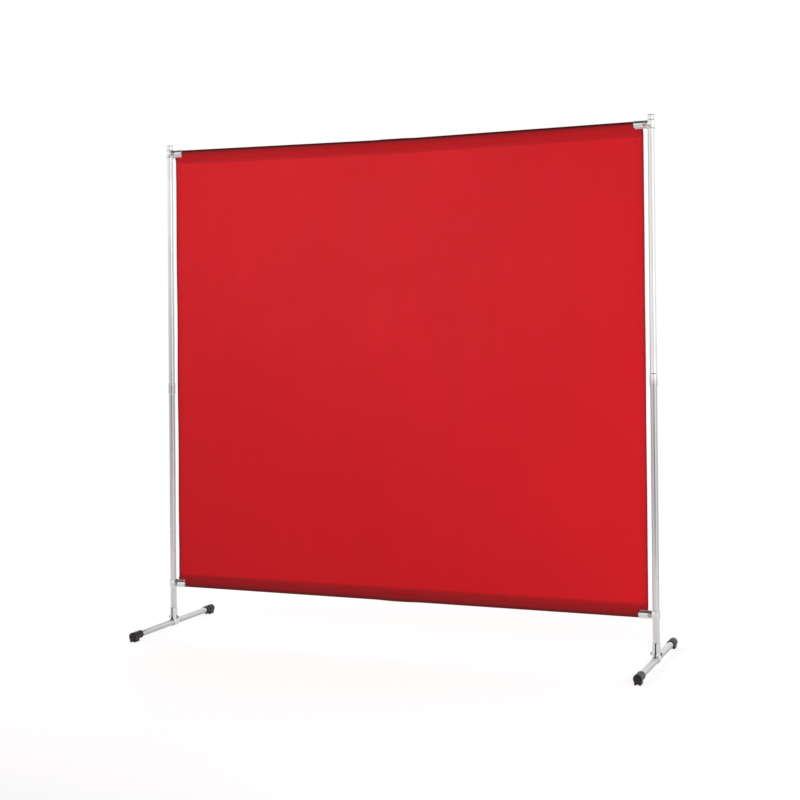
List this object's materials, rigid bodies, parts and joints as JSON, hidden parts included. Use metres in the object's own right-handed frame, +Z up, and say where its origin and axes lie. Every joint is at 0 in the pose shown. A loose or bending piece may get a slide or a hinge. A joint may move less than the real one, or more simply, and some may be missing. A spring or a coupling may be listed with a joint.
{
  "type": "welding curtain screen",
  "caption": "Free-standing welding screen: a tinted vinyl curtain with tunnels over the rails of a round-tube frame with clamp tees and swivelling capped feet.",
  "frame": {"origin": "on the floor, midway between the posts", "axes": "+X along the screen, +Y from its front to its back, +Z up"},
  "size_m": [2.0608, 0.633, 2],
  "materials": {
    "tube": "satin",
    "tee": "satin",
    "fastener": "satin",
    "cap": "matte",
    "plug": "matte",
    "curtain": "satin"
  },
  "bodies": {
    "frame": {"post_left_lower": "tube", "post_left_upper": "tube", "post_right_lower": "tube", "post_right_upper": "tube", "post_plug_left": "plug", "post_plug_right": "plug", "top_rail_left": "tube", "top_rail_right": "tube", "tee_top_left_front": "tee", "tee_top_left_back": "tee", "tee_top_left_bolt": "fastener", "tee_top_left_nut": "fastener", "tee_top_right_front": "tee", "tee_top_right_back": "tee", "tee_top_right_bolt": "fastener", "tee_top_right_nut": "fastener", "curtain": "curtain"},
    "bottom_rail": {"bottom_rail_left": "tube", "bottom_rail_right": "tube", "tee_bottom_left_front": "tee", "tee_bottom_left_back": "tee", "tee_bottom_left_bolt": "fastener", "tee_bottom_left_nut": "fastener", "tee_bottom_right_front": "tee", "tee_bottom_right_back": "tee", "tee_bottom_right_bolt": "fastener", "tee_bottom_right_nut": "fastener"},
    "foot_left": {"foot_tube_left": "tube", "foot_cap_left_front": "cap", "foot_cap_left_back": "cap", "tee_foot_left_inner": "tee", "tee_foot_left_outer": "tee", "tee_foot_left_bolt": "fastener", "tee_foot_left_nut": "fastener"},
    "foot_right": {"foot_tube_right": "tube", "foot_cap_right_front": "cap", "foot_cap_right_back": "cap", "tee_foot_right_inner": "tee", "tee_foot_right_outer": "tee", "tee_foot_right_bolt": "fastener", "tee_foot_right_nut": "fastener"}
  },
  "joints": [
    {"name": "bottom_rail_lift", "type": "slide", "parent": "frame", "child": "bottom_rail", "axis": [0, 0, 1], "range_m": [0, 0.06], "deforming": ["curtain"]},
    {"name": "foot_left_swivel", "type": "hinge", "parent": "frame", "child": "foot_left", "pos_m": [-1.0085, 0, 0.0475], "axis": [0, 0, 1], "range_deg": [-90, 90]},
    {"name": "foot_right_swivel", "type": "hinge", "parent": "frame", "child": "foot_right", "pos_m": [1.0085, 0, 0.0475], "axis": [0, 0, 1], "range_deg": [-90, 90]}
  ]
}
